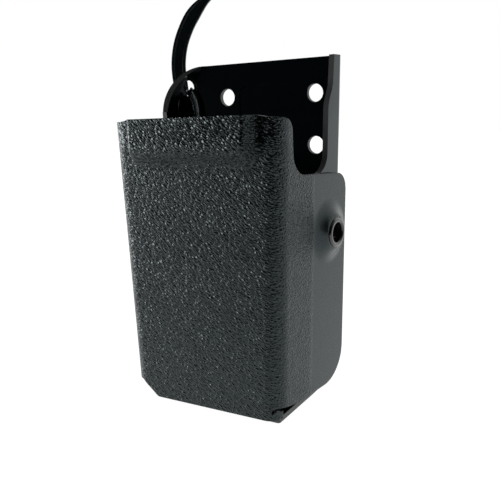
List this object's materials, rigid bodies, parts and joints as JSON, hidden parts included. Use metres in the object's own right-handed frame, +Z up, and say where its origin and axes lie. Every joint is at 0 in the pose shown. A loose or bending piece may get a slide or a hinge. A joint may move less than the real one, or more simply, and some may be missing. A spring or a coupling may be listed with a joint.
{
  "type": "belt holder for a hand lamp",
  "caption": "Moulded belt holder for a box-shaped hand lamp: a textured front shell over a smooth drilled back plate, with side eyelets and a toothed strap.",
  "frame": {"origin": "on the standing surface, under the middle of the whole object's box", "axes": "+X to the right as seen from the front, +Y from the front shell towards the back plate, +Z up"},
  "size_m": [0.0824, 0.0639, 0.1587],
  "materials": {
    "grained_sheet": "fine leather grain, satin",
    "smooth_sheet": "smooth gloss",
    "eyelet_metal": "black enamel on brass",
    "strap_nylon": "satin moulded nylon"
  },
  "bodies": {
    "holder": {"front_shell": "grained_sheet", "rear_tray": "smooth_sheet", "eyelet_right": "eyelet_metal", "eyelet_left": "eyelet_metal", "eyelet_washer_right": "eyelet_metal", "eyelet_washer_left": "eyelet_metal", "strap_inner": "strap_nylon"},
    "tail": {"strap_tail": "strap_nylon"}
  },
  "joints": [
    {"name": "tail_swing", "type": "hinge", "parent": "holder", "child": "tail", "pos_m": [-0.0296, 0.018, 0.1166], "axis": [0, 1, 0], "range_deg": [-20, 20], "stiffness_Nm_per_rad": 0.004}
  ]
}
